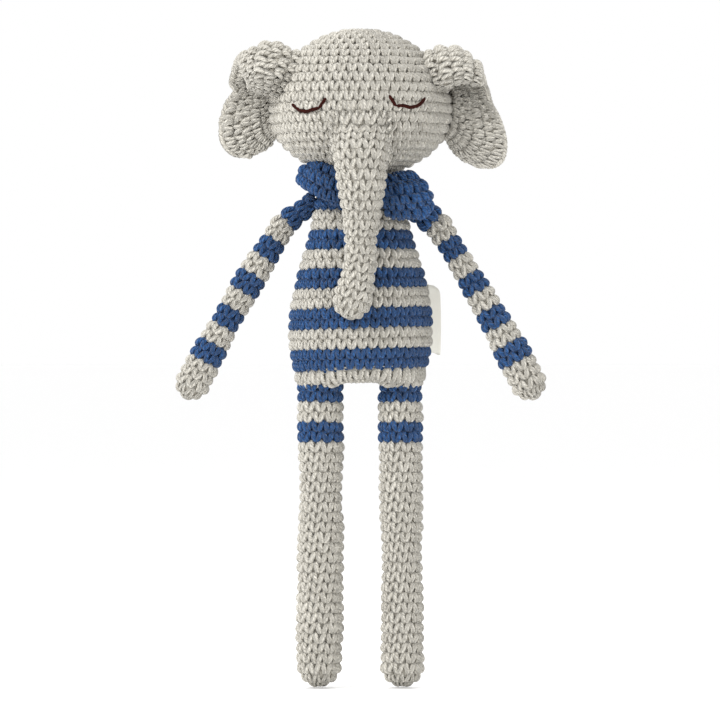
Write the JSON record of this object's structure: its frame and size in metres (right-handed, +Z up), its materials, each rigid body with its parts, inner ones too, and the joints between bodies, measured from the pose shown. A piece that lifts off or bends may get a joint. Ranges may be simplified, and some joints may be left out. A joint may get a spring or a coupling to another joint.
{
  "type": "stuffed elephant",
  "caption": "Crocheted soft elephant doll in a striped jumper, with a long trunk, folded ears, a two-lobed collar and slim limbs that bend at seams.",
  "frame": {"origin": "middle of the belly, where a hand or a doll stand's waist ring holds the doll upright", "axes": "+Z up from toes to crown, -Y the way the face looks, +X the doll's own left side"},
  "size_m": [0.1818, 0.0986, 0.32],
  "materials": {
    "yarn_grey": "matt crocheted cotton yarn, light greige",
    "yarn_blue": "matt crocheted cotton yarn, denim blue",
    "fleece": "loose white polyester fibre",
    "eye_thread": "dark brown embroidery thread",
    "label_tape": "woven off-white cotton tape"
  },
  "bodies": {
    "torso": {"torso_cover_grey": "yarn_grey", "torso_cover_blue": "yarn_blue", "torso_stuffing": "fleece", "collar": "yarn_blue"},
    "neck": {"neck_cover": "yarn_blue", "neck_stuffing": "fleece"},
    "head": {"head_cover": "yarn_grey", "head_stuffing": "fleece", "eye_left": "eye_thread", "eye_right": "eye_thread", "trunk_root_cover": "yarn_grey", "trunk_root_stuffing": "fleece"},
    "trunk_upper": {"trunk_upper_cover": "yarn_grey", "trunk_upper_stuffing": "fleece"},
    "trunk_tip": {"trunk_tip_cover": "yarn_grey", "trunk_tip_stuffing": "fleece"},
    "ear_left": {"ear_left": "yarn_grey"},
    "ear_right": {"ear_right": "yarn_grey"},
    "label": {"side_label": "label_tape"},
    "shoulder_left": {"shoulder_seam_left": "yarn_blue"},
    "arm_left": {"arm_left_grey": "yarn_grey", "arm_left_blue": "yarn_blue", "arm_left_stuffing": "fleece"},
    "thigh_left": {"thigh_left_grey": "yarn_grey", "thigh_left_blue": "yarn_blue", "thigh_left_stuffing": "fleece"},
    "shin_left": {"shin_left_cover": "yarn_grey", "shin_left_stuffing": "fleece"},
    "shoulder_right": {"shoulder_seam_right": "yarn_blue"},
    "arm_right": {"arm_right_grey": "yarn_grey", "arm_right_blue": "yarn_blue", "arm_right_stuffing": "fleece"},
    "thigh_right": {"thigh_right_grey": "yarn_grey", "thigh_right_blue": "yarn_blue", "thigh_right_stuffing": "fleece"},
    "shin_right": {"shin_right_cover": "yarn_grey", "shin_right_stuffing": "fleece"}
  },
  "joints": [
    {"name": "neck_turn", "type": "hinge", "parent": "torso", "child": "neck", "pos_m": [0, 0, 0.072], "axis": [0, 0, 1], "range_deg": [-25, 25]},
    {"name": "head_tilt_back", "type": "hinge", "parent": "neck", "child": "head", "pos_m": [0, 0, 0.072], "axis": [-1, 0, 0], "range_deg": [0, 18]},
    {"name": "trunk_lift", "type": "hinge", "parent": "head", "child": "trunk_upper", "pos_m": [0, -0.0435, 0.078], "axis": [-1, 0, 0], "range_deg": [0, 70]},
    {"name": "trunk_curl", "type": "hinge", "parent": "trunk_upper", "child": "trunk_tip", "pos_m": [0, -0.03949, 0.04222], "axis": [-1, 0, 0], "range_deg": [0, 60]},
    {"name": "ear_left_flap", "type": "hinge", "parent": "head", "child": "ear_left", "pos_m": [0.047, 0, 0.11394], "axis": [0.1045, 0, -0.9945], "range_deg": [-25, 35]},
    {"name": "arm_left_swing", "type": "hinge", "parent": "torso", "child": "shoulder_left", "pos_m": [0.03112, 0, 0.0645], "axis": [-1, 0, 0], "range_deg": [-35, 60]},
    {"name": "arm_left_raise", "type": "hinge", "parent": "shoulder_left", "child": "arm_left", "pos_m": [0.03112, 0, 0.0645], "axis": [0, -1, 0], "range_deg": [-10, 60]},
    {"name": "leg_left_swing", "type": "hinge", "parent": "torso", "child": "thigh_left", "pos_m": [0.0199, 0, -0.0333], "axis": [-1, 0, 0], "range_deg": [-30, 90]},
    {"name": "knee_left_bend", "type": "hinge", "parent": "thigh_left", "child": "shin_left", "pos_m": [0.0199, 0, -0.1018], "axis": [1, 0, 0], "range_deg": [-30, 90]},
    {"name": "ear_right_flap", "type": "hinge", "parent": "head", "child": "ear_right", "pos_m": [-0.047, 0, 0.11394], "axis": [0.1045, 0, 0.9945], "range_deg": [-25, 35]},
    {"name": "arm_right_swing", "type": "hinge", "parent": "torso", "child": "shoulder_right", "pos_m": [-0.03112, 0, 0.0645], "axis": [-1, 0, 0], "range_deg": [-35, 60]},
    {"name": "arm_right_raise", "type": "hinge", "parent": "shoulder_right", "child": "arm_right", "pos_m": [-0.03112, 0, 0.0645], "axis": [0, 1, 0], "range_deg": [-10, 60]},
    {"name": "leg_right_swing", "type": "hinge", "parent": "torso", "child": "thigh_right", "pos_m": [-0.0199, 0, -0.0333], "axis": [-1, 0, 0], "range_deg": [-30, 90]},
    {"name": "knee_right_bend", "type": "hinge", "parent": "thigh_right", "child": "shin_right", "pos_m": [-0.0199, 0, -0.1018], "axis": [1, 0, 0], "range_deg": [-30, 90]},
    {"name": "label_flap", "type": "hinge", "parent": "torso", "child": "label", "pos_m": [0.03374, 0.0105, -0.0078], "axis": [0, 0, 1], "range_deg": [-30, 30]}
  ]
}
